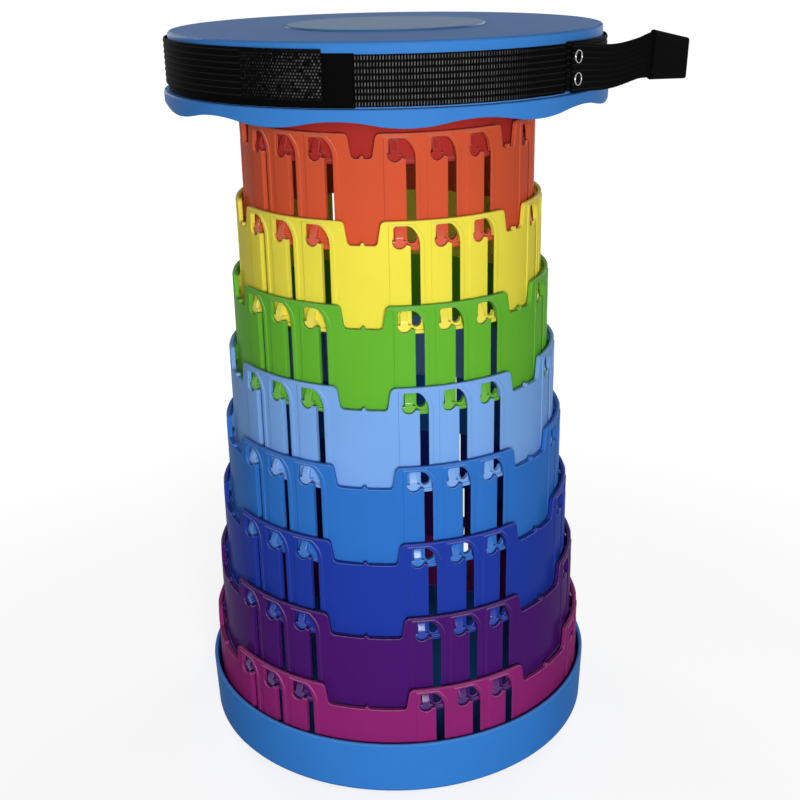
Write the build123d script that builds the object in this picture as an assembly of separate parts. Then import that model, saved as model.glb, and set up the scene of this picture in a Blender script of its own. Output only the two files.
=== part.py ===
from build123d import *
import math
import os

# Telescoping stool, millimetres. Origin on the floor under the middle of the base, +Z up.
# Angles around the stool are degrees from the front (-Y) towards the right (+X).

# Sections: eight slotted rings and the seat's own ring, counted upwards from the base
SECTIONS = ("magenta", "purple", "royal_blue", "mid_blue", "sky_blue", "green", "yellow", "red")
PITCH = 46.5
OVERLAP = 17.0
OUTER_RING_RADIUS = 123.0
RING_STEP = 5.0
RING_WALL = 2.6
RING_EDGE = 0.5
FLANGE_HEIGHT = 2.0
FLANGE_CLEARANCE = 0.55

# Bands of slots and the notches between them
BANDS = 6
UNITS_PER_BAND = 3
UNIT_PITCH = 23.5
UNIT_OFFSET = -0.3
NARROWEST_NOTCH = 15.8
NOTCH_DEPTH = 13.5
NOTCH_SLOPE = 2.2
NOTCH_TOP_RADIUS = 3.0
NOTCH_FOOT_RADIUS = 2.5
NIB_WIDTH = 2.8
NIB_HEIGHT = 2.7
NIB_RADIUS = 0.8

# One slot unit: a lock pocket, an arch and a vertical slot in a raised panel
TWIST_ARC = 8.6
POCKET_RADIUS = 4.1
POCKET_SHOULDER = 0.7
ARCH_BELOW_TOP = 2.6
ARCH_CORNER = 1.6
ARCH_LEAD = 3.7
ARCH_SMALL_RADIUS = 5.0
SLOT_WIDTH = 5.2
SLOT_FOOT = 3.6
SLOT_SKIN = 0.9
SLOT_RELIEF = 2.0
TONGUE_HEIGHT = 2.4
TONGUE_SLOPE = 0.8
PANEL_RAISE = 0.45
PANEL_LEFT = 1.9
PANEL_RIGHT = 2.5
PANEL_BELOW_TOP = 1.7
PANEL_SKIN = 1.2

# Pegs at the foot of each ring, standing in the pockets of the ring outside it
PEG_HEIGHT = 5.7
PEG_CLEARANCE = 0.2
PEG_GAP = 0.35
PEG_RIB_WIDTH = 4.4
PEG_RIB_HEIGHT = 7.6
PEG_RIB_TOP = 1.3
RECESS_CLEARANCE = 0.6

# Base cup and the rubber ring it stands on
FOOT_THICKNESS = 1.2
FOOT_WIDTH = 4.8
FOOT_INSET = 0.5
BASE_FLOOR_UNDER = 5.0
BASE_FLOOR = 3.2
RING_SEAT_STEP = 0.3
RING_SEAT_LAND = 0.2
BASE_HEIGHT = 36.8
BASE_CLEARANCE = 0.75
BASE_WALL = 2.4
BASE_TAPER = 1.2
BASE_HEEL_RADIUS = 3.0
BASE_HEEL_WIDTH = 9.0
BASE_EDGE = 0.6
BEAD_HEIGHT = 1.0
BEAD_GAP = 0.3
BEAD_INWARD = 1.3
BASE_RIBS = 12
BASE_RIB_WIDTH = 2.0
BASE_RIB_RISE = 0.8
BASE_HUB_RADIUS = 22.0

# Seat
SEAT_PLATE = 3.0
STACK_CLEARANCE = 0.6
SEAT_CLEARANCE = 0.75
SEAT_WALL = 1.8
SEAT_EDGE_RADIUS = 1.6
STRAP_BELOW_TOP = 5.3
LEDGE_THICKNESS = 2.0
SKIRT_CLEARANCE = 0.5
SKIRT_WALL = 1.8
SKIRT_DEPTH = 7.8
SKIRT_WAVES = 11
SKIRT_WAVE_HEIGHT = 3.6
SKIRT_LOW_ANGLE = 14.3
MEDALLION_RADIUS = 58.5
MEDALLION_FIT = 0.2
MEDALLION_SINK = 1.0
MEDALLION_PROUD = 1.0
MEDALLION_EDGE = 0.7
SEAT_RIBS = 6
SEAT_RIB_WIDTH = 2.0
SEAT_RIB_HEIGHT = 7.0
SEAT_HUB_RADIUS = 12.0
BOSS_HEIGHT = 6.0
BOSS_RADIUS = 4.0
BOSS_INSET = 4.6
SCREW_COUNT = 6
SCREW_RADIUS = 1.5
SCREW_FIT = 0.1
SCREW_BITE = 4.5
SCREW_HEAD_RADIUS = 2.9
SCREW_HEAD_HEIGHT = 2.0
SEAT_RING_LIP = 3.0

# Strap around the seat
STRAP_WIDTH = 25.4
STRAP_THICKNESS = 1.4
STRAP_SLACK = 0.2
STRAP_JOIN_GAP = 0.3
PATCH_WIDTH = 26.6
PATCH_THICKNESS = 0.9
LEFT_END_THICKNESS = 1.1
FRONT_BAND_START = 2.2
FRONT_BAND_END = 57.0
PATCH_START = -100.0
LEFT_END_START = -25.4
LEFT_END_STOP = -4.9
BACK_BAND_STOP = -21.5
RIVET_ANGLE = 60.3
RIVET_SPACING = 11.5
RIVET_HEAD_RADIUS = 4.0
RIVET_HEAD_THICKNESS = 0.9
RIVET_SHANK_RADIUS = 3.2
RIVET_BORE_RADIUS = 2.8
RIVET_FIT = 0.1
TAIL_LEAD = 4.8
TAIL_LENGTH = 84.0
TAB_LENGTH = 44.0
TAB_WIDTH = 28.0
TAB_THICKNESS = 3.6
TAB_TILT = -4.5
STRAP_LEAN = 0.83
STRAP_LEAN_TOWARDS = -40.0
STRAP_LIFT = 1.2

# Sizes that follow
SECTION_HEIGHT = PITCH + OVERLAP
BASE_FLOOR_TOP = BASE_FLOOR_UNDER + BASE_FLOOR
RING_SEAT = BASE_FLOOR_TOP + RING_SEAT_STEP
FLANGE_OUT = RING_STEP - RING_WALL - FLANGE_CLEARANCE
SEAT_SECTION = len(SECTIONS)
PANEL_FACE = OUTER_RING_RADIUS + PANEL_RAISE
SEAT_BORE = PANEL_FACE + SEAT_CLEARANCE
SEAT_RADIUS = SEAT_BORE + SEAT_WALL
BASE_BORE = OUTER_RING_RADIUS + FLANGE_OUT + BASE_CLEARANCE
BASE_RADIUS = BASE_BORE + BASE_WALL
BASE_HEEL = BASE_RADIUS - BASE_TAPER
SKIRT_BORE = BASE_RADIUS + SKIRT_CLEARANCE
SKIRT_RADIUS = SKIRT_BORE + SKIRT_WALL
SEAT_RING_HEIGHT = SECTION_HEIGHT + STACK_CLEARANCE
PEG_RADIUS = POCKET_RADIUS - PEG_CLEARANCE
STRAP_BORE = SEAT_RADIUS + STRAP_SLACK
OUTER_STRAP_BORE = STRAP_BORE + PATCH_THICKNESS + STRAP_SLACK
STRAP_FACE = OUTER_STRAP_BORE + STRAP_THICKNESS


def ring_radius(section):
    return OUTER_RING_RADIUS - section * RING_STEP


def ring_bottom(section):
    return RING_SEAT + section * PITCH


SEAT_UNDER = ring_bottom(SEAT_SECTION) + SEAT_RING_HEIGHT
SEAT_TOP = SEAT_UNDER + SEAT_PLATE
STRAP_TOP = SEAT_TOP - STRAP_BELOW_TOP
STRAP_MIDDLE = STRAP_TOP - PATCH_WIDTH / 2
LEDGE_TOP = STRAP_TOP - PATCH_WIDTH - STRAP_SLACK
LEDGE_UNDER = LEDGE_TOP - LEDGE_THICKNESS
BAND_ANGLE = 360 / BANDS
BAND_WIDTH = math.radians(BAND_ANGLE) * ring_radius(SEAT_SECTION - 1) - NARROWEST_NOTCH


def wall_plane(angle, distance, height):
    """Upright plane facing outwards at an angle, x to the right and y up as seen from outside."""
    turn = math.radians(angle)
    out = Vector(math.sin(turn), -math.cos(turn), 0)
    right = Vector(math.cos(turn), math.sin(turn), 0)
    return Plane(origin=out * distance + Vector(0, 0, height), x_dir=right, z_dir=out)


def revolved(face, start=0, stop=360):
    """Turn a face of (radius, height) about Z between two angles."""
    turned = revolve(Plane.XZ * face, axis=Axis.Z, revolution_arc=stop - start)
    return Rot(0, 0, start - 90) * turned


def outline_face(points):
    return make_face(Polyline(*points, close=True))


def rounded(face, corners, radius):
    """Face with the named corners rounded off."""
    for corner in corners:
        nearest = face.vertices().sort_by_distance(corner + (0,))[0]
        face = fillet(nearest, radius)
    return face


def arc_band(inner, outer, low, high, start, stop):
    """Part of a tube between two angles."""
    section = outline_face([(inner, low), (outer, low), (outer, high), (inner, high)])
    return revolved(section, start, stop)


def unit_angles(radius, shift):
    """Angles of the slot units in the first band of a ring, moved sideways by shift along the arc."""
    angles = []
    for unit in range(UNITS_PER_BAND):
        arc = UNIT_OFFSET + (unit - (UNITS_PER_BAND - 1) / 2) * UNIT_PITCH + shift
        angles.append(BAND_ANGLE / 2 + math.degrees(arc / radius))
    return angles


# The arch runs from its flat top through a small and a large arc down to the slot's right side
POCKET_U = -TWIST_ARC / 2
SLOT_RIGHT = TWIST_ARC / 2 + SLOT_WIDTH / 2
SLOT_LEFT = SLOT_RIGHT - SLOT_WIDTH
POCKET_V = PITCH + PEG_HEIGHT
ARCH_TOP = SECTION_HEIGHT - ARCH_BELOW_TOP
SINE_45 = math.sqrt(0.5)
ARCH_U = POCKET_U + ARCH_LEAD
ARCH_MID_U = ARCH_U + ARCH_SMALL_RADIUS * SINE_45
ARCH_MID_V = ARCH_TOP - ARCH_SMALL_RADIUS * (1 - SINE_45)
ARCH_LARGE_RADIUS = (SLOT_RIGHT - ARCH_MID_U) / (1 - SINE_45)
ARCH_SPRING_V = ARCH_MID_V - ARCH_LARGE_RADIUS * SINE_45


def slot_face():
    """Opening of one slot unit, seen from outside, with v measured from the ring's bottom."""
    left = POCKET_U - POCKET_RADIUS + POCKET_SHOULDER
    reach = POCKET_RADIUS - POCKET_SHOULDER
    shoulder_v = POCKET_V + math.sqrt(POCKET_RADIUS**2 - reach**2)
    tongue_v = POCKET_V - POCKET_RADIUS + TONGUE_HEIGHT
    tongue_u = POCKET_U + math.sqrt(POCKET_RADIUS**2 - (POCKET_V - tongue_v) ** 2)
    foot_v = SLOT_FOOT + SLOT_WIDTH / 2
    corner = Line((left, shoulder_v), (left, ARCH_TOP - ARCH_CORNER))
    corner += RadiusArc((left, ARCH_TOP - ARCH_CORNER), (left + ARCH_CORNER, ARCH_TOP), ARCH_CORNER)
    corner += Line((left + ARCH_CORNER, ARCH_TOP), (ARCH_U, ARCH_TOP))
    arch = RadiusArc((ARCH_U, ARCH_TOP), (ARCH_MID_U, ARCH_MID_V), ARCH_SMALL_RADIUS)
    arch += RadiusArc((ARCH_MID_U, ARCH_MID_V), (SLOT_RIGHT, ARCH_SPRING_V), ARCH_LARGE_RADIUS)
    slot = Line((SLOT_RIGHT, ARCH_SPRING_V), (SLOT_RIGHT, foot_v))
    slot += ThreePointArc((SLOT_RIGHT, foot_v), (TWIST_ARC / 2, SLOT_FOOT), (SLOT_LEFT, foot_v))
    slot += Line((SLOT_LEFT, foot_v), (SLOT_LEFT, tongue_v - TONGUE_SLOPE))
    slot += Line((SLOT_LEFT, tongue_v - TONGUE_SLOPE), (tongue_u, tongue_v))
    pocket = ThreePointArc((tongue_u, tongue_v), (POCKET_U, POCKET_V - POCKET_RADIUS), (left, shoulder_v))
    return make_face(corner + arch + slot + pocket)


def panel_face():
    """Raised panel around one slot unit: a straight left side and a lip that follows the arch."""
    left = POCKET_U - POCKET_RADIUS - PANEL_LEFT
    right = SLOT_RIGHT + PANEL_RIGHT
    top = SECTION_HEIGHT - PANEL_BELOW_TOP
    rise = top - ARCH_SPRING_V
    lip_u = ARCH_MID_U
    run = right - lip_u
    radius = (run**2 + rise**2) / (2 * run)
    sides = Line((lip_u, top), (left, top)) + Line((left, top), (left, 0)) + Line((left, 0), (right, 0))
    sides += Line((right, 0), (right, ARCH_SPRING_V))
    return make_face(sides + RadiusArc((right, ARCH_SPRING_V), (lip_u, top), -radius))


def notch_face(radius):
    """Notch between two bands, with sloped sides, round corners and a nib on its floor."""
    half_top = (math.radians(BAND_ANGLE) * radius - BAND_WIDTH) / 2
    half_foot = half_top - NOTCH_SLOPE
    floor = SECTION_HEIGHT - NOTCH_DEPTH
    above = SECTION_HEIGHT + NOTCH_DEPTH
    nib = NIB_WIDTH / 2
    points = [(-half_top - NOTCH_DEPTH, above), (-half_top - NOTCH_DEPTH, SECTION_HEIGHT)]
    points += [(-half_top, SECTION_HEIGHT), (-half_foot, floor)]
    points += [(-nib, floor), (0, floor + NIB_HEIGHT), (nib, floor)]
    points += [(half_foot, floor), (half_top, SECTION_HEIGHT)]
    points += [(half_top + NOTCH_DEPTH, SECTION_HEIGHT), (half_top + NOTCH_DEPTH, above)]
    face = outline_face(points)
    face = rounded(face, [(-half_foot, floor), (half_foot, floor)], NOTCH_FOOT_RADIUS)
    face = rounded(face, [(0, floor + NIB_HEIGHT)], NIB_RADIUS)
    return rounded(face, [(-half_top, SECTION_HEIGHT), (half_top, SECTION_HEIGHT)], NOTCH_TOP_RADIUS)


def rib_face():
    """Front outline of a peg's rib: straight sides and a round top."""
    half = PEG_RIB_WIDTH / 2
    spring = PEG_RIB_HEIGHT - half
    sides = Polyline((-half, spring), (-half, -half), (half, -half), (half, spring))
    return make_face(sides + ThreePointArc((half, spring), (0, PEG_RIB_HEIGHT), (-half, spring)))


def pegs(section):
    """Half-round pegs with a sloped, round-topped rib, at the pocket angles of the ring outside."""
    radius = ring_radius(section)
    outside = ring_radius(section - 1)
    root = radius - RING_WALL / 2
    reach = outside + PANEL_RAISE - PANEL_SKIN - PEG_GAP - root
    arc = ThreePointArc((-PEG_RADIUS, 0), (0, -PEG_RADIUS), (PEG_RADIUS, 0))
    half_round = extrude(make_face(arc + Line((PEG_RADIUS, 0), (-PEG_RADIUS, 0))), reach)
    side = [(0, -PEG_RADIUS / 2), (reach, -PEG_RADIUS / 2), (reach, PEG_RADIUS / 2)]
    side += [(RING_WALL / 2 + PEG_RIB_TOP, PEG_RIB_HEIGHT), (0, PEG_RIB_HEIGHT)]
    wedge = extrude(outline_face(side), PEG_RIB_WIDTH / 2, both=True)
    upright = Plane(origin=(0, 0, 0), x_dir=(0, 0, 1), z_dir=(-1, 0, 0))
    peg = half_round + (upright.location * wedge & extrude(rib_face(), reach))
    return [wall_plane(angle, root, PEG_HEIGHT).location * peg for angle in unit_angles(outside, POCKET_U)]


def ring_profile(radius, height):
    """Section of a ring's wall with its outward foot flange and softened top edge."""
    bore = radius - RING_WALL
    points = [(bore, 0), (radius + FLANGE_OUT, 0), (radius + FLANGE_OUT, FLANGE_HEIGHT)]
    points += [(radius, FLANGE_HEIGHT), (radius, height - RING_EDGE), (radius - RING_EDGE, height)]
    points += [(bore + RING_EDGE, height), (bore, height - RING_EDGE)]
    return outline_face(points)


def all_round(sector, count):
    """The whole ring from one of its equal sectors."""
    return sector + [Rot(0, 0, number * 360 / count) * sector for number in range(1, count)]


def slotted_ring(section):
    """One telescoping ring: a sector with one band of slots, thinned beside each slot, repeated all round."""
    radius = ring_radius(section)
    sector = revolved(ring_profile(radius, SECTION_HEIGHT), 0, BAND_ANGLE)
    shell = arc_band(radius - RING_WALL, radius + PANEL_RAISE, 0, SECTION_HEIGHT, 0, BAND_ANGLE)
    panel = extrude(panel_face(), 2 * RING_WALL, both=True)
    slot = extrude(slot_face(), 2 * RING_WALL, both=True)
    notch = extrude(notch_face(radius), 4 * RING_WALL, both=True)
    recess_width = 2 * (PEG_RADIUS + RECESS_CLEARANCE)
    recess_top = POCKET_V + PEG_RIB_HEIGHT + RECESS_CLEARANCE
    recess = Box(recess_width, recess_top, RING_WALL, align=(Align.CENTER, Align.MIN, Align.MAX))
    recess_face = radius + PANEL_RAISE - PANEL_SKIN
    relief_height = ARCH_SPRING_V - SLOT_FOOT - SLOT_WIDTH / 2
    relief_width = SLOT_RELIEF + SLOT_WIDTH / 2
    relief = Box(relief_width, relief_height, RING_WALL, align=(Align.MAX, Align.MAX, Align.MAX))
    relief = Pos(SLOT_RELIEF, ARCH_SPRING_V, 0) * relief
    relief_face = radius + PANEL_RAISE - SLOT_SKIN
    places = [wall_plane(angle, radius, 0).location for angle in unit_angles(radius, 0)]
    sector = sector + [shell & (place * panel) for place in places]
    if section > 0:
        sector = sector + pegs(section)
    cuts = [place * slot for place in places]
    cuts += [wall_plane(angle, recess_face, 0).location * recess for angle in unit_angles(radius, POCKET_U)]
    cuts += [wall_plane(angle, relief_face, 0).location * relief for angle in unit_angles(radius, SLOT_RIGHT)]
    cuts += [wall_plane(angle, radius, 0).location * notch for angle in (0, BAND_ANGLE)]
    return Pos(0, 0, ring_bottom(section)) * all_round(sector - cuts, BANDS)


def around(count, circle, height, solid, first=0):
    """Copies of a solid on a circle, turned to face outwards along their own X axis."""
    found = []
    for number in range(count):
        turn = Rot(0, 0, first - 90 + number * 360 / count)
        found.append(turn * Pos(circle, 0, height) * solid)
    return found


# Seat ring: plain wall with pegs, and an inward lip that screws up against the seat's bosses
SEAT_RING_BORE = ring_radius(SEAT_SECTION) - RING_WALL
SEAT_LIP_BORE = SEAT_RING_BORE - 2 * BOSS_INSET
SCREW_CIRCLE = SEAT_RING_BORE - BOSS_INSET
BOSS_UNDER = SEAT_UNDER - BOSS_HEIGHT
LIP_UNDER = BOSS_UNDER - SEAT_RING_LIP


def seat_ring():
    sector = revolved(ring_profile(ring_radius(SEAT_SECTION), SEAT_RING_HEIGHT), 0, BAND_ANGLE)
    sector = sector + pegs(SEAT_SECTION)
    ring = Pos(0, 0, ring_bottom(SEAT_SECTION)) * all_round(sector, BANDS)
    ring = ring + arc_band(SEAT_LIP_BORE, SEAT_RING_BORE + RING_WALL / 2, LIP_UNDER, BOSS_UNDER, 0, 360)
    hole = Cylinder(SCREW_RADIUS + SCREW_FIT, 3 * SEAT_RING_LIP)
    return ring - around(SCREW_COUNT, SCREW_CIRCLE, LIP_UNDER, hole)


def seat_screws():
    top = SEAT_RING_LIP + SCREW_BITE
    points = [(0, -SCREW_HEAD_HEIGHT), (SCREW_HEAD_RADIUS, -SCREW_HEAD_HEIGHT), (SCREW_HEAD_RADIUS, 0)]
    points += [(SCREW_RADIUS, 0), (SCREW_RADIUS, top - SCREW_RADIUS), (0, top)]
    screw = revolved(outline_face(points))
    return Compound(children=around(SCREW_COUNT, SCREW_CIRCLE, LIP_UNDER, screw))


def wave_face():
    """One arch of the skirt's wavy lower edge, in the tangent plane, its feet at v = 0."""
    half = SKIRT_RADIUS * math.sin(math.pi / SKIRT_WAVES)
    rise = SKIRT_WAVE_HEIGHT
    bend = ((half / 2) ** 2 + (rise / 2) ** 2) / rise
    beyond = half + rise
    edge = RadiusArc((-half, 0), (-half / 2, rise / 2), -bend)
    edge += RadiusArc((-half / 2, rise / 2), (0, rise), bend)
    edge += RadiusArc((0, rise), (half / 2, rise / 2), bend)
    edge += RadiusArc((half / 2, rise / 2), (half, 0), -bend)
    below = Polyline((half, 0), (beyond, 0), (beyond, -rise), (-beyond, -rise), (-beyond, 0), (-half, 0))
    return make_face(edge + below)


def wavy_skirt():
    """Skirt under the seat's ledge: a sector with one wave, repeated all round."""
    wave_angle = 360 / SKIRT_WAVES
    wave_low = LEDGE_TOP - SKIRT_DEPTH - SKIRT_WAVE_HEIGHT / 2
    stop = SKIRT_LOW_ANGLE + wave_angle
    uncut_low = wave_low - SKIRT_WAVE_HEIGHT / 2
    sector = arc_band(SKIRT_BORE, SKIRT_RADIUS, uncut_low, LEDGE_UNDER, SKIRT_LOW_ANGLE, stop)
    wave_depth = SKIRT_RADIUS * (1 - math.cos(math.pi / SKIRT_WAVES)) + 2 * SKIRT_WALL
    wave = extrude(wave_face(), wave_depth, both=True)
    middle = SKIRT_LOW_ANGLE + wave_angle / 2
    return all_round(sector - wall_plane(middle, SKIRT_RADIUS, wave_low).location * wave, SKIRT_WAVES)


def seat_shell():
    points = [(0, SEAT_UNDER), (SEAT_BORE, SEAT_UNDER), (SEAT_BORE, LEDGE_UNDER)]
    points += [(SKIRT_RADIUS, LEDGE_UNDER), (SKIRT_RADIUS, LEDGE_TOP)]
    points += [(SEAT_RADIUS, LEDGE_TOP), (SEAT_RADIUS, SEAT_TOP), (0, SEAT_TOP)]
    profile = rounded(outline_face(points), [(SEAT_RADIUS, SEAT_TOP)], SEAT_EDGE_RADIUS)
    profile = rounded(profile, [(SKIRT_RADIUS, LEDGE_TOP)], LEDGE_THICKNESS / 2)
    shell = revolved(profile) + wavy_skirt()
    hub = Pos(0, 0, SEAT_UNDER - SEAT_RIB_HEIGHT / 2) * Cylinder(SEAT_HUB_RADIUS, SEAT_RIB_HEIGHT)
    boss = Cylinder(BOSS_RADIUS, BOSS_HEIGHT, align=(Align.CENTER, Align.CENTER, Align.MAX))
    rib_length = SEAT_LIP_BORE - SEAT_HUB_RADIUS
    rib = Box(rib_length, SEAT_RIB_WIDTH, SEAT_RIB_HEIGHT, align=(Align.MIN, Align.CENTER, Align.MAX))
    ribs = around(SEAT_RIBS, SEAT_HUB_RADIUS - SEAT_RIB_WIDTH, SEAT_UNDER, rib, 180 / SEAT_RIBS)
    shell = shell + [hub] + around(SCREW_COUNT, SCREW_CIRCLE, SEAT_UNDER, boss) + ribs
    pilot = Cylinder(SCREW_RADIUS + SCREW_FIT, SCREW_BITE + SCREW_RADIUS / 2,
                     align=(Align.CENTER, Align.CENTER, Align.MIN))
    sink = Pos(0, 0, SEAT_TOP) * Cylinder(MEDALLION_RADIUS + MEDALLION_FIT, 2 * MEDALLION_SINK)
    return shell - ([sink] + around(SCREW_COUNT, SCREW_CIRCLE, BOSS_UNDER, pilot))


def seat_medallion():
    low = SEAT_TOP - MEDALLION_SINK
    high = SEAT_TOP + MEDALLION_PROUD
    points = [(0, low), (MEDALLION_RADIUS, low), (MEDALLION_RADIUS, high), (0, high)]
    return revolved(rounded(outline_face(points), [(MEDALLION_RADIUS, high)], MEDALLION_EDGE))


def base_cup():
    heel_bore = BASE_HEEL - BASE_HEEL_WIDTH
    seat_bore = ring_radius(0) - RING_WALL - RING_SEAT_LAND
    bead_low = RING_SEAT + FLANGE_HEIGHT + BEAD_GAP
    bead_high = bead_low + BEAD_HEIGHT
    points = [(0, BASE_FLOOR_UNDER), (heel_bore, BASE_FLOOR_UNDER), (heel_bore, FOOT_THICKNESS)]
    points += [(BASE_HEEL, FOOT_THICKNESS), (BASE_RADIUS, BASE_HEIGHT - BASE_EDGE)]
    points += [(BASE_RADIUS - BASE_EDGE, BASE_HEIGHT)]
    points += [(BASE_BORE + BASE_EDGE, BASE_HEIGHT), (BASE_BORE, BASE_HEIGHT - BASE_EDGE)]
    points += [(BASE_BORE, bead_high + BEAD_INWARD), (BASE_BORE - BEAD_INWARD, bead_high)]
    points += [(BASE_BORE - BEAD_INWARD, bead_low), (BASE_BORE, bead_low), (BASE_BORE, RING_SEAT)]
    points += [(seat_bore, RING_SEAT), (seat_bore, BASE_FLOOR_TOP), (0, BASE_FLOOR_TOP)]
    cup = revolved(rounded(outline_face(points), [(BASE_HEEL, FOOT_THICKNESS)], BASE_HEEL_RADIUS))
    hub_height = BASE_FLOOR_UNDER - FOOT_THICKNESS - BASE_RIB_RISE
    hub = Pos(0, 0, BASE_FLOOR_UNDER - hub_height / 2) * Cylinder(BASE_HUB_RADIUS, hub_height)
    rib_length = heel_bore - BASE_HUB_RADIUS + 2 * BASE_RIB_WIDTH
    rib = Box(rib_length, BASE_RIB_WIDTH, hub_height, align=(Align.MIN, Align.CENTER, Align.MAX))
    ribs = around(BASE_RIBS, BASE_HUB_RADIUS - BASE_RIB_WIDTH, BASE_FLOOR_UNDER, rib, 180 / BASE_RIBS)
    return cup + [hub] + ribs


def base_foot_ring():
    outer = BASE_HEEL - BASE_HEEL_RADIUS - FOOT_INSET
    return arc_band(outer - FOOT_WIDTH, outer, 0, FOOT_THICKNESS, 0, 360)


def strap_band(inner, thickness, width, start, stop):
    """A stretch of strap lying round the seat's wall."""
    low = STRAP_MIDDLE - width / 2
    return arc_band(inner, inner + thickness, low, low + width, start, stop)


def leaning_slab():
    """What the leaning bands are cut from: a strap-wide slab, highest on the left."""
    turn = STRAP_LEAN_TOWARDS - 90
    place = Pos(0, 0, STRAP_MIDDLE + STRAP_LIFT) * Rot(0, 0, turn) * Rot(0, -STRAP_LEAN, 0)
    return place * Cylinder(2 * STRAP_FACE, STRAP_WIDTH)


def leaning_band(inner, thickness, start, stop):
    """A stretch of strap that climbs towards the left as it goes round the seat's wall."""
    return strap_band(inner, thickness, 2 * STRAP_WIDTH, start, stop) & leaning_slab()


def strap_tail():
    """Straight free end, in the tangent plane at the rivets."""
    size = (TAIL_LEAD + TAIL_LENGTH, STRAP_WIDTH, STRAP_THICKNESS)
    return Pos(-TAIL_LEAD, 0, 0) * Box(*size, align=(Align.MIN, Align.CENTER, Align.MIN))


def strap_tab():
    """Folded and sewn end of the tail, a little wider and hanging down a little."""
    tab = Box(TAB_LENGTH, TAB_WIDTH, TAB_THICKNESS, align=(Align.MIN, Align.CENTER, Align.CENTER))
    return Pos(TAIL_LENGTH, 0, STRAP_THICKNESS / 2) * Rot(0, 0, TAB_TILT) * tab


def rivet():
    """Eyelet with a domed rim, its rim's seat at height 0 and its barrel going down through the strap."""
    low = -2 * STRAP_THICKNESS - STRAP_SLACK / 2
    rim = RIVET_HEAD_THICKNESS
    points = [(RIVET_BORE_RADIUS, low), (RIVET_SHANK_RADIUS, low), (RIVET_SHANK_RADIUS, 0)]
    points += [(RIVET_HEAD_RADIUS, 0), (RIVET_HEAD_RADIUS - rim / 2, rim)]
    points += [(RIVET_BORE_RADIUS + rim / 2, rim), (RIVET_BORE_RADIUS, rim / 2)]
    return revolved(outline_face(points))


def strap_parts():
    tail_place = wall_plane(RIVET_ANGLE, STRAP_FACE + STRAP_SLACK, STRAP_MIDDLE).location
    rivet_heights = (-RIVET_SPACING / 2, RIVET_SPACING / 2)
    hole = Cylinder(RIVET_SHANK_RADIUS + RIVET_FIT, 6 * STRAP_THICKNESS)
    holes = [Pos(0, height, 0) * hole for height in rivet_heights]
    rivets = [tail_place * Pos(0, height, STRAP_THICKNESS) * rivet() for height in rivet_heights]
    tab = strap_tab()
    tail = strap_tail() - tab - holes
    gap = math.degrees(STRAP_JOIN_GAP / STRAP_BORE)
    back = leaning_band(OUTER_STRAP_BORE, STRAP_THICKNESS, FRONT_BAND_END + gap, BACK_BAND_STOP + 360)
    back = back - [tail_place * solid for solid in holes]
    front = strap_band(STRAP_BORE, STRAP_THICKNESS, STRAP_WIDTH, FRONT_BAND_START, FRONT_BAND_END)
    patch = strap_band(STRAP_BORE, PATCH_THICKNESS, PATCH_WIDTH, PATCH_START, FRONT_BAND_START - gap)
    left_bore = STRAP_FACE + STRAP_SLACK
    left = leaning_band(left_bore, LEFT_END_THICKNESS, LEFT_END_START, LEFT_END_STOP)
    return {
        "strap_front_band": front,
        "strap_back_band": back,
        "strap_hook_patch": patch,
        "strap_left_end": left,
        "strap_tail": tail_place * tail,
        "strap_tail_tab": tail_place * tab,
        "strap_rivets": Compound(children=rivets),
    }


def all_parts():
    parts = {"base_cup": base_cup(), "base_foot_ring": base_foot_ring()}
    for section, colour in enumerate(SECTIONS):
        parts[colour + "_ring"] = slotted_ring(section)
    parts["seat_ring"] = seat_ring()
    parts["seat_shell"] = seat_shell()
    parts["seat_medallion"] = seat_medallion()
    parts["seat_screws"] = seat_screws()
    parts.update(strap_parts())
    return parts


os.makedirs("parts", exist_ok=True)
for name, solid in all_parts().items():
    export_step(solid, "parts/" + name + ".step")
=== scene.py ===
"""Looks of the telescoping stool: the finish of its moulded rings and the woven strap round its seat."""

import math

import bpy
from mathutils import Matrix, Vector


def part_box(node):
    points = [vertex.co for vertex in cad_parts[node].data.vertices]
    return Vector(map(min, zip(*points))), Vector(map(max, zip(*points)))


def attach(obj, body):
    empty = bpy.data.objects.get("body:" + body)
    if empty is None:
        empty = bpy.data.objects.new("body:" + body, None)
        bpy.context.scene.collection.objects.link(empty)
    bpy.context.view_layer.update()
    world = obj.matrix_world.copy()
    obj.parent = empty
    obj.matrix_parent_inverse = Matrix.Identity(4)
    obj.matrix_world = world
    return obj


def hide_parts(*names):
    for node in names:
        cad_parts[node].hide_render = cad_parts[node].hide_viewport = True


WHITE = (1, 1, 1, 1)

# Camera: where it stands round the stool and how it is turned, in degrees and metres
IMAGE_PIXELS = 800
FOCAL_PIXELS = 1218.0
SENSOR_WIDTH = 36.0
CAMERA_CLIP = 0.01
CAMERA_AZIMUTH = 9.41
CAMERA_DISTANCE = 0.744
CAMERA_HEIGHT = 0.495
CAMERA_PITCH = 20.8
CAMERA_YAW = 0.34
CAMERA_ROLL = -1.1

# Light and floor: azimuths from the camera, levels of the white surroundings
FLOOR_SIZE = 60.0
FLOOR_COLOUR = (0.34, 0.34, 0.34)
FLOOR_ROUGHNESS = 1.0
FLOOR_SPECULAR = 0.0
FLOOR_GLOW_NEAR = 0.75
FLOOR_GLOW_FAR = 1.0
FLOOR_NEAR = 0.3
FLOOR_FAR = 1.2
HORIZON_LEVEL = 0.15
ZENITH_LEVEL = 0.12
KEY_POWER = 13.0
KEY_SIZE = 0.35
KEY_AZIMUTH = 5.0
KEY_DISTANCE = 1.25
KEY_HEIGHT = 0.47
BACK_POWER = 6.3
BACK_SIZE = 0.6
BACK_AZIMUTH = 145.0
BACK_DISTANCE = 1.4
BACK_HEIGHT = 0.65
AIM_HEIGHT = 0.25

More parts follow.
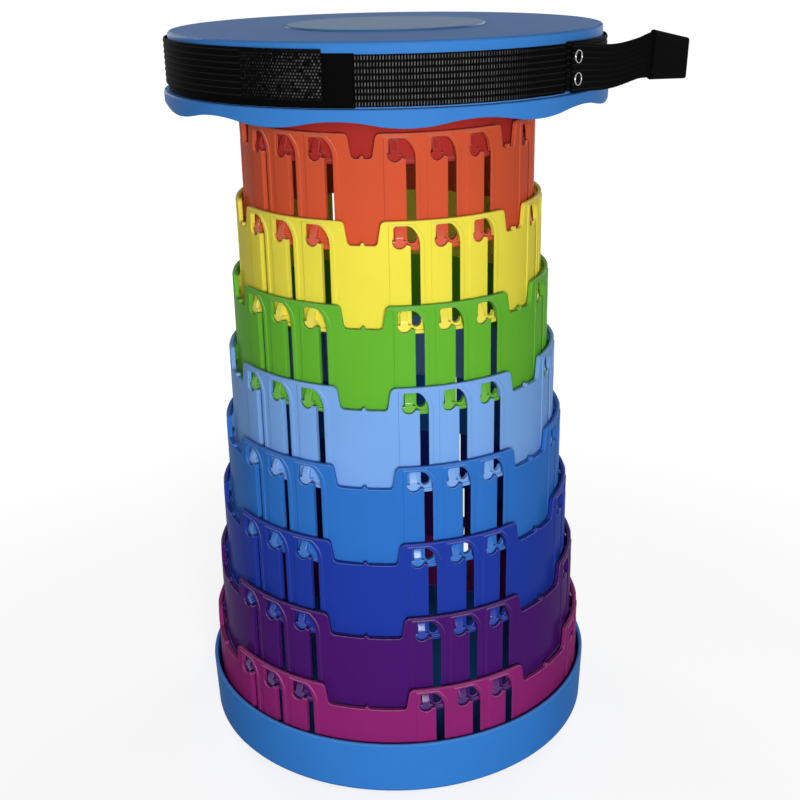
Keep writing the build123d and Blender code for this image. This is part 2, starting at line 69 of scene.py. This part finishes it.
# Moulded plastic: soft edges with a painted highlight along them, lightest on their upper side, and pegs
# polished by use
EDGE_RADIUS = 0.0008
EDGE_SAMPLES = 6
EDGE_TURN = 0.12
EDGE_HIGHLIGHT = 0.7
EDGE_WHITE = 0.28
EDGE_UP = 0.6
EDGE_SIDE = 0.07
PLASTIC_ROUGHNESS = 0.48
PLASTIC_SPECULAR = 0.008
SEAT_SPECULAR = 0.03
MEDALLION_ROUGHNESS = 0.40
MEDALLION_SPECULAR = 0.052
RING_COAT = 0.05
PEG_COAT = 0.8
PEG_FACE = 0.002
COAT_ROUGHNESS = 0.16
MOTTLE_SCALE = 40.0
MOTTLE_SHARE = 0.10
GRAIN_SCALE = 1400.0
GRAIN_HEIGHT = 0.00002
PEGGED_RINGS = ("purple", "royal_blue", "mid_blue", "sky_blue", "green", "yellow", "red")
COLOURS = {
    "base_blue": (0.040, 0.225, 0.680),
    "seat_blue": (0.044, 0.212, 0.590),
    "medallion": (0.050, 0.190, 0.430),
    "red": (0.660, 0.095, 0.036),
    "inner_red": (0.420, 0.031, 0.025),
    "yellow": (0.880, 0.770, 0.070),
    "green": (0.130, 0.460, 0.032),
    "sky_blue": (0.195, 0.405, 0.820),
    "mid_blue": (0.028, 0.172, 0.580),
    "royal_blue": (0.014, 0.043, 0.365),
    "purple": (0.064, 0.008, 0.150),
    "magenta": (0.280, 0.020, 0.170),
}

# Webbing: its colours, with a painted sheen colour for the crowns of its raised yarns, and the mesh steps
# along and across it
CLOTH_COLOUR = (0.0022, 0.0021, 0.0024)
YARN_SHEEN_COLOUR = (0.175, 0.170, 0.165)
CLOTH_ROUGHNESS = 0.85
CLOTH_SPECULAR = 0.02
CLOTH_FUZZ_SCALE = 2600.0
CLOTH_FUZZ_HEIGHT = 0.00012
GRID = 0.0004
DASH_GRID = 0.0002
BEAD_GRID = 0.0003
RIB_GRID = 0.002

# Weaves: counts, pitches and depths in metres, brightness of the painted sheen and places as shares from 0
# to 1
RIB_COUNT = 8
RIB_DEPTH = 0.00045
RIB_LINE = 0.06
RIB_SHEEN = 0.09
RIB_FADE = 0.7
DASH_PITCH = 0.00155
DASH_DEPTH = 0.0004
DASH_STEEPNESS = 1.6
DASH_LEAST = 0.45
DASH_ROW = (0.35, 0.85)
DASH_CROWN = (0.80, 1.0)
# stretch where the dashes flatten into ribs and their painted highlight fades out
DASH_FADE = (0.48, 0.84)
DASH_LINES = (0.62, 0.85)
BEAD_PITCH = 0.0017
BEAD_ROWS = 16
BEAD_DEPTH = 0.0004
BEAD_LEAST = 0.0
BEAD_FAINT = 0.15
BEAD_SHOWN = 0.8
BEAD_FADE = (0.1, 0.9)
BEAD_CROWN = (0.45, 1.0)
BEAD_SELVEDGE = 0.14
STITCH_PITCH = 0.0030
STITCH_INSET = 0.0028
STITCH_WIDTH = 0.0006
STITCH_DEPTH = 0.00025
STITCH_YARN = 0.03
STITCH_CROWN = (0.2, 0.5)

# Scatter of the yarns' brightness over the columns and rows of a weave
COLUMN_TURN = 12.9898
ROW_TURN = 78.233
SCATTER = 43758.5453

# Lie of the strap: its lean in degrees as in the part, the laps at its joins and the hang of its free end
STRAP_LEAN = 0.83
STRAP_LEAN_TOWARDS = -40.0
FRONT_LAP = 0.0003
PATCH_LAP = 0.0005
TAIL_WAIST = 0.90
TAIL_WAIST_AT = 0.80
TAIL_SAG = 0.0025
TAB_TILT = -4.5
TAB_TAPER = 0.14

# Eyelets, screws and rubber
METAL_SPECULAR = 0.5
METAL_GRAIN_SCALE = 1500.0
METAL_GRAIN_HEIGHT = 0.000005
SCREW_COLOUR = (0.55, 0.55, 0.54)
SCREW_ROUGHNESS = 0.35
EYELET_COLOUR = (0.36, 0.36, 0.35)
EYELET_ROUGHNESS = 0.18
EYELET_SEGMENTS = 64
EYELET_ARC = 10
EYELET_WALL = 0.0004
EYELET_SHARE = 0.90
EYELET_RIM = 0.99
EYELET_END = 0.1
RUBBER_COLOUR = (0.015, 0.015, 0.015)
RUBBER_ROUGHNESS = 0.8
RUBBER_SPECULAR = 0.3
RUBBER_GRAIN_HEIGHT = 0.00005


def principled(name, colour, roughness, specular):
    """New material with those uniform values on its shader."""
    material = bpy.data.materials.new(name)
    material.use_nodes = True
    shader = material.node_tree.nodes["Principled BSDF"]
    shader.inputs["Base Color"].default_value = (*colour, 1)
    shader.inputs["Roughness"].default_value = roughness
    shader.inputs["Specular IOR Level"].default_value = specular
    return material, material.node_tree, shader


def noise(tree, scale):
    """Share from 0 to 1 that wanders over the piece, in its own metres."""
    place = tree.nodes.new("ShaderNodeTexCoord")
    texture = tree.nodes.new("ShaderNodeTexNoise")
    texture.inputs["Scale"].default_value = scale
    tree.links.new(place.outputs["Object"], texture.inputs["Vector"])
    return texture.outputs["Fac"]


def grain(tree, shader, scale, height):
    """Fine unevenness on the shader's surface."""
    bump = tree.nodes.new("ShaderNodeBump")
    bump.inputs["Distance"].default_value = height
    tree.links.new(noise(tree, scale), bump.inputs["Height"])
    tree.links.new(bump.outputs["Normal"], shader.inputs["Normal"])
    return bump


def colour_mix(tree, share, low, high):
    """Mix of two colours by a share."""
    mix = tree.nodes.new("ShaderNodeMix")
    mix.data_type = "RGBA"
    mix.inputs["A"].default_value = (*low, 1)
    mix.inputs["B"].default_value = (*high, 1)
    tree.links.new(share, mix.inputs["Factor"])
    return mix


def graded(tree, value, start, stop, low, high):
    """Output that goes from low, where the value is start, to high, where it is stop."""
    grade = tree.nodes.new("ShaderNodeMapRange")
    sockets = ("From Min", "From Max", "To Min", "To Max")
    for socket, number in zip(sockets, (start, stop, low, high)):
        grade.inputs[socket].default_value = number
    tree.links.new(value, grade.inputs["Value"])
    return grade.outputs["Result"]


def combined(tree, operation, one, other):
    """Output of a maths node on two values."""
    maths = tree.nodes.new("ShaderNodeMath")
    maths.operation = operation
    tree.links.new(one, maths.inputs[0])
    tree.links.new(other, maths.inputs[1])
    return maths.outputs["Value"]


def upward(tree, direction):
    """How far a direction points up: 1 straight up, 0 level."""
    parts = tree.nodes.new("ShaderNodeSeparateXYZ")
    tree.links.new(direction, parts.inputs["Vector"])
    return parts.outputs["Z"]


def from_axis(tree):
    """Distance from the stool's upright axis."""
    place = tree.nodes.new("ShaderNodeTexCoord")
    level = tree.nodes.new("ShaderNodeVectorMath")
    level.operation = "MULTIPLY"
    level.inputs[1].default_value = (1, 1, 0)
    tree.links.new(place.outputs["Object"], level.inputs[0])
    radius = tree.nodes.new("ShaderNodeVectorMath")
    radius.operation = "LENGTH"
    tree.links.new(level.outputs["Vector"], radius.inputs[0])
    return radius.outputs["Value"]


def edge_highlight_share(tree, edge):
    """How much painted highlight a place gets: 0 on a face, rising where a rounded edge turns away, most on
    upper edges.
    """
    surface = tree.nodes.new("ShaderNodeNewGeometry")
    turn = tree.nodes.new("ShaderNodeVectorMath")
    turn.operation = "DOT_PRODUCT"
    tree.links.new(edge.outputs["Normal"], turn.inputs[0])
    tree.links.new(surface.outputs["Normal"], turn.inputs[1])
    rounded = graded(tree, turn.outputs["Value"], 1.0, 1.0 - EDGE_TURN, 0.0, EDGE_HIGHLIGHT)
    upper = graded(tree, upward(tree, edge.outputs["Normal"]), 0.0, EDGE_UP, EDGE_SIDE, 1.0)
    return combined(tree, "MULTIPLY", rounded, upper)


def polish_pegs(tree, shader, edge, reach):
    """Shinier plastic at the ring's reach, where its pegs rub."""
    coat = graded(tree, from_axis(tree), reach - PEG_FACE, reach - PEG_FACE / 2, RING_COAT, PEG_COAT)
    tree.links.new(coat, shader.inputs["Coat Weight"])
    tree.links.new(edge.outputs["Normal"], shader.inputs["Coat Normal"])
    shader.inputs["Coat Roughness"].default_value = COAT_ROUGHNESS


def plastic(slot, roughness=PLASTIC_ROUGHNESS, specular=PLASTIC_SPECULAR, reach=None):
    """Satin moulded plastic with softened edges, a painted highlight along them, and a very fine grain."""
    material, tree, shader = principled(slot, COLOURS[slot], roughness, specular)
    edge = tree.nodes.new("ShaderNodeBevel")
    edge.samples = EDGE_SAMPLES
    edge.inputs["Radius"].default_value = EDGE_RADIUS
    bump = grain(tree, shader, GRAIN_SCALE, GRAIN_HEIGHT)
    tree.links.new(edge.outputs["Normal"], bump.inputs["Normal"])
    if reach:
        polish_pegs(tree, shader, edge, reach)
    darker = [channel * (1 - MOTTLE_SHARE) for channel in COLOURS[slot]]
    # painted highlight: the colour is mixed towards white on rounded edges, most on upward-facing ones
    lighter = [channel + (1 - channel) * EDGE_WHITE for channel in COLOURS[slot]]
    body = colour_mix(tree, noise(tree, MOTTLE_SCALE), darker, COLOURS[slot])
    highlighted = colour_mix(tree, edge_highlight_share(tree, edge), darker, lighter)
    tree.links.new(body.outputs["Result"], highlighted.inputs["A"])
    tree.links.new(highlighted.outputs["Result"], shader.inputs["Base Color"])
    return material


def metal(slot, colour, roughness):
    """Plated metal with faint polishing marks."""
    material, tree, shader = principled(slot, colour, roughness, METAL_SPECULAR)
    shader.inputs["Metallic"].default_value = 1.0
    grain(tree, shader, METAL_GRAIN_SCALE, METAL_GRAIN_HEIGHT)
    return material


def rubber(slot):
    """Matt rubber with a fine grain."""
    material, tree, shader = principled(slot, RUBBER_COLOUR, RUBBER_ROUGHNESS, RUBBER_SPECULAR)
    grain(tree, shader, GRAIN_SCALE, RUBBER_GRAIN_HEIGHT)
    return material


def cloth(slot):
    """Black webbing with a painted sheen on its raised yarns, by the mesh's own yarn value."""
    material, tree, shader = principled(slot, CLOTH_COLOUR, CLOTH_ROUGHNESS, CLOTH_SPECULAR)
    yarn = tree.nodes.new("ShaderNodeAttribute")
    yarn.attribute_name = "yarn"
    # painted sheen: the webbing is mixed towards grey where the yarn value is high
    mix = colour_mix(tree, yarn.outputs["Fac"], CLOTH_COLOUR, YARN_SHEEN_COLOUR)
    tree.links.new(mix.outputs["Result"], shader.inputs["Base Color"])
    grain(tree, shader, CLOTH_FUZZ_SCALE, CLOTH_FUZZ_HEIGHT)
    return material


def put_in_scene(name, data):
    """New object in the scene."""
    thing = bpy.data.objects.new(name, data)
    bpy.context.scene.collection.objects.link(thing)
    return thing


def new_piece(name, points, faces):
    """New object with a mesh of those points and faces."""
    mesh = bpy.data.meshes.new(name)
    mesh.from_pydata(points, [], faces)
    return put_in_scene(name, mesh)


def node_points(node):
    """Corners of a CAD node's mesh, in metres in the shared frame."""
    return [vertex.co.copy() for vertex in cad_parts[node].data.vertices]


def ramp(value, start, stop):
    """Smooth rise from 0 at start to 1 at stop."""
    share = min(max((value - start) / (stop - start), 0.0), 1.0)
    return share * share * (3 - 2 * share)


class Arc:
    """A band's stretch round the seat, measured on its CAD node. It starts where its open stretch ends."""

    free_end = False

    def __init__(self, node, slope, lap):
        points = node_points(node)
        radii = [math.hypot(point.x, point.y) for point in points]
        self.slope = slope
        above = [point.z - slope.dot(point) for point in points]
        angles = sorted(math.atan2(point.x, -point.y) for point in points)
        following = angles[1:] + [angles[0] + 2 * math.pi]
        opening, self.start = max((after - before, after) for before, after in zip(angles, following))
        self.inner, self.thickness = min(radii), max(radii) - min(radii)
        self.low, self.width = min(above), max(above) - min(above)
        self.sweep = 2 * math.pi - opening + lap / self.inner
        self.length = self.sweep * max(radii)

    def place(self, along, across, depth):
        """Point at shares along and across the band, depth outwards of its inner face."""
        angle = self.start + along * self.sweep
        radius = self.inner + depth
        point = Vector((radius * math.sin(angle), -radius * math.cos(angle), 0))
        point.z = self.slope.dot(point) + self.low + across * self.width
        return point


class Board:
    """The flat free end of the strap: it leaves the seat along the tangent at the rivets."""

    free_end = True

    def __init__(self, node, angle, tilt=0.0, waist=1.0, sag=0.0, taper=0.0):
        self.out = Vector((math.sin(angle), -math.cos(angle), 0))
        tangent = Vector((math.cos(angle), math.sin(angle), 0))
        self.right = tangent * math.cos(tilt) + Vector((0, 0, math.sin(tilt)))
        self.up = self.out.cross(self.right)
        self.waist, self.sag, self.taper = waist, sag, taper
        points = node_points(node)
        self.near, self.length = self.extent(points, self.right)
        self.low, self.width = self.extent(points, self.up)
        self.back, self.thickness = self.extent(points, self.out)

    @staticmethod
    def extent(points, direction):
        """Where the points begin in a direction, and how far they reach."""
        places = [point.dot(direction) for point in points]
        return min(places), max(places) - min(places)

    def place(self, along, across, depth):
        """Point at shares along and across the board, depth outwards of its back."""
        pinch = ramp(along, 0.0, TAIL_WAIST_AT) * (1 - ramp(along, TAIL_WAIST_AT, 1.0))
        narrow = 1 - (1 - self.waist) * pinch
        height = self.low + self.width * (0.5 + (across - 0.5) * narrow - across * self.taper * along)
        height -= self.sag * math.sin(math.pi * along) ** 2
        rightwards = self.right * (self.near + along * self.length)
        return rightwards + self.up * height + self.out * (self.back + depth)


def uneven(column, row, least):
    """Brightness of one yarn, from least to 1, scattered over the columns and rows."""
    scatter = math.sin(COLUMN_TURN * column + ROW_TURN * row) * SCATTER % 1
    return least + (1 - least) * scatter


def crest(position, count):
    """0 between two yarns, 1 on the middle of one."""
    return abs(math.sin(math.pi * count * position))


def rib_sheen_line(rib):
    """Painted highlight: a thin light line on the top of a rib."""
    return RIB_SHEEN * max(0.0, (rib - 1 + RIB_LINE) / RIB_LINE)


def ribbed(shape):
    """Plain ribbed webbing: lengthwise ribs with a thin painted highlight line on each, fading out towards
    a free end.
    """
    def weave(along, across):
        rib = crest(across, RIB_COUNT)
        line = rib_sheen_line(rib)
        if shape.free_end:
            line *= 1 - ramp(along, 0.0, RIB_FADE)
        return (rib - 1) * RIB_DEPTH, line
    return weave


def dashed(shape):
    """Front webbing: rows of short upright yarns that merge into plain ribs at its right end, with a
    painted highlight on the dash crowns that fades out there as the light falls off.
    """
    columns = round(shape.length / DASH_PITCH)

    def weave(along, across):
        row = crest(across, RIB_COUNT)
        dash = crest(along, columns)
        shown = 1 - ramp(along, *DASH_FADE)
        height = min(1.0, DASH_STEEPNESS * row) * (1 - shown + shown * dash)
        # painted highlight on each dash's crown, scattered in brightness and fading out with the dashes
        light = uneven(math.floor(along * columns), math.floor(across * RIB_COUNT), DASH_LEAST) * shown
        light *= ramp(row, *DASH_ROW) * ramp(dash, *DASH_CROWN)
        return (height - 1) * DASH_DEPTH, light + rib_sheen_line(row) * ramp(along, *DASH_LINES)
    return weave


def beaded(shape):
    """Left end: small beads in staggered rows with a painted highlight on their crowns, clearest at its
    right edge.
    """
    columns = round(shape.length / BEAD_PITCH)

    def weave(along, across):
        row = math.floor(across * BEAD_ROWS)
        shifted = along + (row % 2) / (2 * columns)
        bead = crest(across, BEAD_ROWS) * crest(shifted, columns)
        # painted highlight on each bead's crown, scattered in brightness
        light = uneven(math.floor(shifted * columns), row, BEAD_LEAST)
        light *= BEAD_FAINT + BEAD_SHOWN * ramp(along, *BEAD_FADE)
        light *= ramp(min(across, 1 - across), 0.0, BEAD_SELVEDGE)
        return (bead - 1) * BEAD_DEPTH, light * ramp(bead, *BEAD_CROWN)
    return weave


def plain(shape):
    """Hook tape: black and even."""
    def weave(along, across):
        return 0.0, 0.0
    return weave


def stitched(shape):
    """Folded end: plain, with a row of sunk stitches along each edge."""
    def weave(along, across):
        from_side = min(across, 1 - across) * shape.width
        from_end = min(along, 1 - along) * shape.length
        nearest = min(from_side, from_end)
        run = along * shape.length if from_side < from_end else across * shape.width
        near = max(0.0, 1 - abs(nearest - STITCH_INSET) / STITCH_WIDTH)
        stitch = near * ramp(crest(run, 1 / STITCH_PITCH), *STITCH_CROWN)
        return -STITCH_DEPTH * near, STITCH_YARN * stitch
    return weave


def strip(name, shape, weave, step):
    """Closed strip of cloth with round selvedges and a woven outer face."""
    columns = math.ceil(shape.length / step)
    rows = math.ceil(shape.width / GRID)
    half = shape.thickness / 2
    points, yarns, front, back = [], [], {}, {}
    for i in range(columns + 1):
        for j in range(rows + 1):
            along, across = i / columns, j / rows
            inset = min(across, 1 - across) * shape.width
            bulge = half * math.sqrt(1 - (1 - min(inset / half, 1)) ** 2)
            relief, yarn = weave(along, across)
            front[i, j] = len(points)
            points.append(shape.place(along, across, half + bulge + relief * bulge / half))
            yarns.append(yarn)
            back[i, j] = front[i, j]
            if 0 < j < rows:
                back[i, j] = len(points)
                points.append(shape.place(along, across, half - bulge))
                yarns.append(0.0)
    faces = []
    for i in range(columns):
        for j in range(rows):
            faces.append((front[i, j], front[i + 1, j], front[i + 1, j + 1], front[i, j + 1]))
            faces.append((back[i, j], back[i, j + 1], back[i + 1, j + 1], back[i + 1, j]))
    for j in range(rows):
        first = (front[0, j], front[0, j + 1], back[0, j + 1], back[0, j])
        last = (back[columns, j], back[columns, j + 1], front[columns, j + 1], front[columns, j])
        faces.append(list(dict.fromkeys(first)))
        faces.append(list(dict.fromkeys(last)))
    piece = new_piece(name, points, faces)
    piece.data.attributes.new("yarn", "FLOAT", "POINT").data.foreach_set("value", yarns)
    piece.data.shade_smooth()
    return piece


def lathe(points, faces, centre, out, outline):
    """Add a closed outline of (radius, depth) turned about an axis through centre."""
    side = Vector((0, 0, 1))
    across = out.cross(side)
    first, count = len(points), len(outline)
    for i in range(EYELET_SEGMENTS):
        turn = 2 * math.pi * i / EYELET_SEGMENTS
        spoke = across * math.cos(turn) + side * math.sin(turn)
        points += [centre + spoke * radius + out * depth for radius, depth in outline]
        ahead = (i + 1) % EYELET_SEGMENTS
        for j in range(count):
            k = (j + 1) % count
            faces.append([first + i * count + j, first + i * count + k,
                          first + ahead * count + k, first + ahead * count + j])


def eyelet_outline(radius, barrel, depth, rim):
    """Thin barrel that rolls over into a round rim."""
    outline = [(barrel - EYELET_WALL, -depth), (barrel, -depth), (barrel, 0)]
    middle = (radius + barrel - EYELET_WALL) / 2
    half = (radius - barrel + EYELET_WALL) / 2
    for i in range(EYELET_ARC + 1):
        turn = math.pi * i / EYELET_ARC
        outline.append((middle + half * math.cos(turn), rim * math.sin(turn)))
    return outline


def make_eyelets(angle):
    """Two bright eyelets, measured on their CAD node and turned smoothly."""
    out = Vector((math.sin(angle), -math.cos(angle), 0))
    solids = node_points("strap_rivets")
    between = sum(point.z for point in solids) / len(solids)
    points, faces = [], []
    for one in ([p for p in solids if p.z < between], [p for p in solids if p.z >= between]):
        low, high = min(p.z for p in one), max(p.z for p in one)
        middle, radius = (low + high) / 2, (high - low) / 2
        back, face = min(p.dot(out) for p in one), max(p.dot(out) for p in one)
        seat = min(p.dot(out) for p in one if abs(p.z - middle) > EYELET_RIM * radius)
        end = back + EYELET_END * (seat - back)
        barrel = max(abs(p.z - middle) for p in one if p.dot(out) < end)
        centre = out * seat + Vector((0, 0, middle))
        outline = eyelet_outline(radius * EYELET_SHARE, barrel, seat - back, face - seat)
        lathe(points, faces, centre, out, outline)
    piece = new_piece("strap_eyelets", points, faces)
    piece.data.shade_smooth()
    return piece


def dress(piece, node, material):
    """Let a new piece stand for its CAD node on the seat."""
    piece.data.materials.append(material)
    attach(piece, "seat")
    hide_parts(node)
    return piece


def make_strap():
    """Bands round the seat, the free end with its folded tab, and the two eyelets."""
    cloths = {slot: cloth(slot) for slot in ("webbing", "hook_tape")}
    low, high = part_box("strap_rivets")
    rivets = (low + high) / 2
    rivet_angle = math.atan2(rivets.x, -rivets.y)
    level = Vector((0, 0, 0))
    climb = math.radians(STRAP_LEAN_TOWARDS)
    leaning = Vector((math.sin(climb), -math.cos(climb), 0)) * math.tan(math.radians(STRAP_LEAN))
    bands = (
        ("strap_front_band", level, FRONT_LAP, dashed, DASH_GRID, "webbing"),
        ("strap_back_band", leaning, 0.0, ribbed, RIB_GRID, "webbing"),
        ("strap_left_end", leaning, 0.0, beaded, BEAD_GRID, "webbing"),
        ("strap_hook_patch", level, PATCH_LAP, plain, RIB_GRID, "hook_tape"),
    )
    for node, slope, lap, pattern, step, slot in bands:
        shape = Arc(node, slope, lap)
        piece = dress(strip(node + "_woven", shape, pattern(shape), step), node, cloths[slot])
    webbing = cloths["webbing"]
    end = Board("strap_tail_tab", rivet_angle, tilt=math.radians(TAB_TILT), taper=TAB_TAPER)
    tab = dress(strip("strap_tail_tab_sewn", end, stitched(end), GRID), "strap_tail_tab", webbing)
    board = Board("strap_tail", rivet_angle, waist=TAIL_WAIST, sag=TAIL_SAG)
    tail = dress(strip("strap_tail_woven", board, ribbed(board), RIB_GRID), "strap_tail", webbing)
    bright = metal("eyelet", EYELET_COLOUR, EYELET_ROUGHNESS)
    dress(make_eyelets(rivet_angle), "strap_rivets", bright)


def paint_cad():
    """Give every shown CAD node its finish."""
    finishes = {
        "base_cup": plastic("base_blue"),
        "base_foot_ring": rubber("foot"),
        "magenta_ring": plastic("magenta"),
        "seat_ring": plastic("inner_red"),
        "seat_shell": plastic("seat_blue", specular=SEAT_SPECULAR),
        "seat_medallion": plastic("medallion", MEDALLION_ROUGHNESS, MEDALLION_SPECULAR),
        "seat_screws": metal("screw", SCREW_COLOUR, SCREW_ROUGHNESS),
    }
    for colour in PEGGED_RINGS:
        node = colour + "_ring"
        reach = max(math.hypot(point.x, point.y) for point in node_points(node))
        finishes[node] = plastic(colour, reach=reach)
    for node, finish in finishes.items():
        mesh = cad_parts[node].data
        mesh.materials.clear()
        mesh.materials.append(finish)


def around(azimuth, distance, height):
    """Place round the stool, by degrees from its front towards its right."""
    turn = math.radians(azimuth)
    return Vector((distance * math.sin(turn), -distance * math.cos(turn), height))


def make_camera():
    """Camera at the photo's viewpoint."""
    pitch, yaw, roll = (math.radians(angle) for angle in (CAMERA_PITCH, CAMERA_YAW, CAMERA_ROLL))
    turn = Matrix.Rotation(math.radians(CAMERA_AZIMUTH), 3, "Z")
    ahead = Vector((math.sin(yaw) * math.cos(pitch), math.cos(yaw) * math.cos(pitch), -math.sin(pitch)))
    level = Vector((math.cos(yaw), -math.sin(yaw), 0))
    above = level.cross(ahead)
    right = turn @ (level * math.cos(roll) + above * math.sin(roll))
    up = turn @ (above * math.cos(roll) - level * math.sin(roll))
    back = -(turn @ ahead)
    data = bpy.data.cameras.new("camera")
    data.sensor_width = SENSOR_WIDTH
    data.lens = SENSOR_WIDTH * FOCAL_PIXELS / IMAGE_PIXELS
    data.clip_start = CAMERA_CLIP
    camera = put_in_scene("camera", data)
    place = Matrix((right, up, back)).transposed().to_4x4()
    place.translation = around(CAMERA_AZIMUTH, CAMERA_DISTANCE, CAMERA_HEIGHT)
    camera.matrix_world = place
    bpy.context.scene.camera = camera


def make_lamp(name, azimuth, distance, height, size, power):
    """Soft lamp that faces the middle of the stool."""
    data = bpy.data.lights.new(name, "AREA")
    data.size = size
    data.energy = power
    lamp = put_in_scene(name, data)
    lamp.location = around(CAMERA_AZIMUTH + azimuth, distance, height)
    lamp.rotation_euler = (Vector((0, 0, AIM_HEIGHT)) - lamp.location).to_track_quat("-Z", "Y").to_euler()


def background_rays(tree):
    """1 for rays that show the background: straight ones, reflections and what is seen through glass."""
    path = tree.nodes.new("ShaderNodeLightPath")
    total = path.outputs["Is Camera Ray"]
    for output in ("Is Glossy Ray", "Is Transmission Ray"):
        total = combined(tree, "MAXIMUM", total, path.outputs[output])
    return total


def make_floor():
    """Pale floor that takes the stool's shadow."""
    half = FLOOR_SIZE / 2
    corners = [(-half, -half, 0), (half, -half, 0), (half, half, 0), (-half, half, 0)]
    floor = new_piece("floor", corners, [(0, 1, 2, 3)])
    material, tree, shader = principled("floor", FLOOR_COLOUR, FLOOR_ROUGHNESS, FLOOR_SPECULAR)
    level = graded(tree, from_axis(tree), FLOOR_NEAR, FLOOR_FAR, FLOOR_GLOW_NEAR, FLOOR_GLOW_FAR)
    glow = combined(tree, "MULTIPLY", background_rays(tree), level)
    shader.inputs["Emission Color"].default_value = WHITE
    tree.links.new(glow, shader.inputs["Emission Strength"])
    floor.data.materials.append(material)


def make_world():
    """White surroundings that light the stool softly, most from the sides."""
    world = bpy.data.worlds.new("world")
    bpy.context.scene.world = world
    world.use_nodes = True
    tree = world.node_tree
    shade = tree.nodes["Background"]
    shade.inputs["Color"].default_value = WHITE
    direction = tree.nodes.new("ShaderNodeTexCoord")
    height = upward(tree, direction.outputs["Generated"])
    fill = graded(tree, height, 0.0, 1.0, HORIZON_LEVEL, ZENITH_LEVEL)
    tree.links.new(combined(tree, "MAXIMUM", background_rays(tree), fill), shade.inputs["Strength"])
    bpy.context.scene.view_settings.view_transform = "Standard"


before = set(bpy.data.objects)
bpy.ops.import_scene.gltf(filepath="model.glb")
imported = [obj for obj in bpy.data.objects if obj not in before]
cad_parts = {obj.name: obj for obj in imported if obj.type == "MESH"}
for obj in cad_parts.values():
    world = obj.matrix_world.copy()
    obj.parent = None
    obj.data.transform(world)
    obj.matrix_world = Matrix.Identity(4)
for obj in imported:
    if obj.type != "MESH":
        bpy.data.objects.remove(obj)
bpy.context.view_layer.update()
paint_cad()
make_strap()
make_camera()
make_lamp("key", KEY_AZIMUTH, KEY_DISTANCE, KEY_HEIGHT, KEY_SIZE, KEY_POWER)
for side in (-1, 1):
    make_lamp("back", side * BACK_AZIMUTH, BACK_DISTANCE, BACK_HEIGHT, BACK_SIZE, BACK_POWER)
make_floor()
make_world()
bpy.context.view_layer.update()
